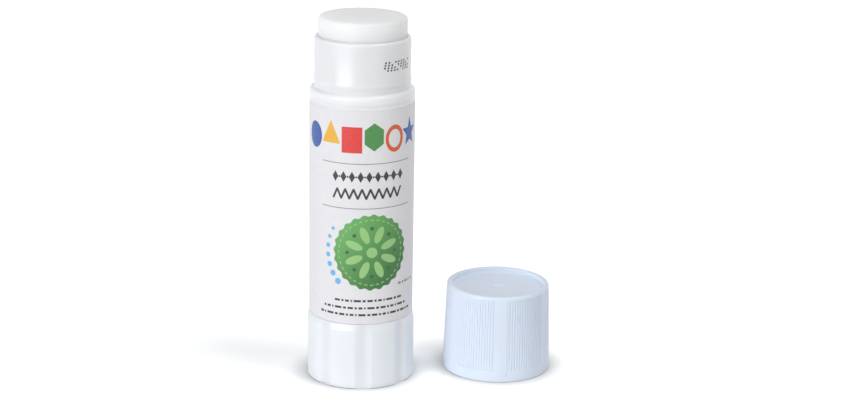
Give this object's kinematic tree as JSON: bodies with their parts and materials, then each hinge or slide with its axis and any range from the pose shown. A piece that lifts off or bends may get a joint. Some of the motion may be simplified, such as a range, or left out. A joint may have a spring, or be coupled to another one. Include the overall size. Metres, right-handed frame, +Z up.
{
  "type": "glue stick",
  "caption": "Twist-up glue stick with a wrapped label, a fluted knob, a lead screw and glue carrier inside, and its push-on ribbed cap standing beside it.",
  "frame": {"origin": "centre of the stick's foot, on the plane that the knob stands on", "axes": "+Z up along the stick's axis from its foot to the glue, +X from the stick's axis towards the cap that stands beside it"},
  "size_m": [0.06, 0.0264, 0.0882],
  "materials": {
    "barrel_plastic": "semi-gloss white moulded plastic",
    "label_film": "printed plastic film with a soft sheen",
    "knob_plastic": "glossy white moulded plastic",
    "screw_plastic": "plain white moulded plastic",
    "carrier_plastic": "plain white moulded plastic",
    "glue": "firm waxy glue, slightly translucent",
    "cap_plastic": "semi-gloss pale blue-white moulded plastic"
  },
  "bodies": {
    "body": {"barrel": "barrel_plastic", "label": "label_film"},
    "knob": {"twist_knob": "knob_plastic", "lead_screw": "screw_plastic"},
    "glue": {"carrier": "carrier_plastic", "glue_mass": "glue"},
    "cap": {"cap": "cap_plastic"}
  },
  "joints": [
    {"name": "knob_twist", "type": "hinge", "parent": "body", "child": "knob", "pos_m": [0, 0, 0], "axis": [0, 0, 1], "range_deg": [-421.25, 3938.45]},
    {"name": "glue_lift", "type": "slide", "parent": "body", "child": "glue", "axis": [0, 0, 1], "range_m": [-0.00585, 0.0547]},
    {"name": "cap_lift", "type": "slide", "parent": "body", "child": "cap", "axis": [0, 0, 1], "range_m": [0, 0.095]}
  ],
  "couplings": [
    {"joint": "knob_twist", "follows": "glue_lift", "rad_per_m": 1256.6}
  ]
}
